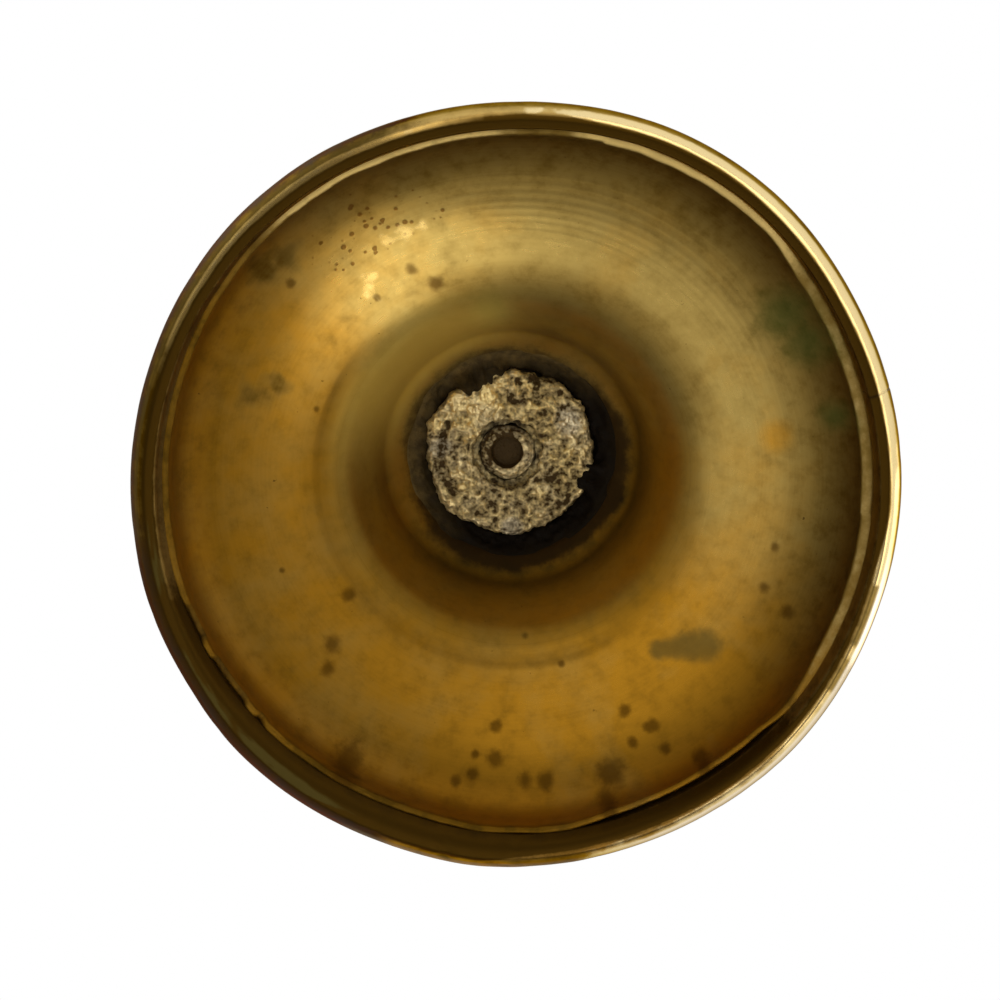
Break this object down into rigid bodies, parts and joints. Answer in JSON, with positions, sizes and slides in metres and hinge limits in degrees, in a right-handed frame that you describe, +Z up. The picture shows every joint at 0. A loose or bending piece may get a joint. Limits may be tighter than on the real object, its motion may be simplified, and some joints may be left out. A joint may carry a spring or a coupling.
{
  "type": "vase",
  "caption": "Footed brass vase: a domed hollow foot with a rolled ring, a knopped stem, a round body and a flared mouth, held together by a tie rod.",
  "frame": {"origin": "on the table, on the axis of the vase, level with the flat land of the foot ring", "axes": "+Z up the axis of the vase, from the foot to the mouth; +X and +Y are any two square directions across it"},
  "size_m": [0.13, 0.13, 0.2642],
  "materials": {
    "aged_brass": "spun sheet, satin, tarnished",
    "worn_brass": "turned, polished by handling",
    "cast_brass": "rough as cast",
    "pitch": "black, lumpy, half dull",
    "solder": "soft solder, dull grey"
  },
  "bodies": {
    "root": {"foot_ring": "worn_brass", "foot_dome": "aged_brass", "foot_throat": "aged_brass", "foot_plug": "cast_brass", "pitch_packing": "pitch", "tie_rod": "cast_brass", "foot_collar": "worn_brass", "stem_knop": "aged_brass", "body_collar": "worn_brass", "body_bowl": "aged_brass", "floor_washer": "aged_brass", "floor_solder": "solder", "body_shoulder": "aged_brass", "trumpet_neck": "aged_brass", "waist_ring": "worn_brass", "seam_band": "worn_brass", "mouth_ring": "worn_brass"}
  },
  "joints": []
}
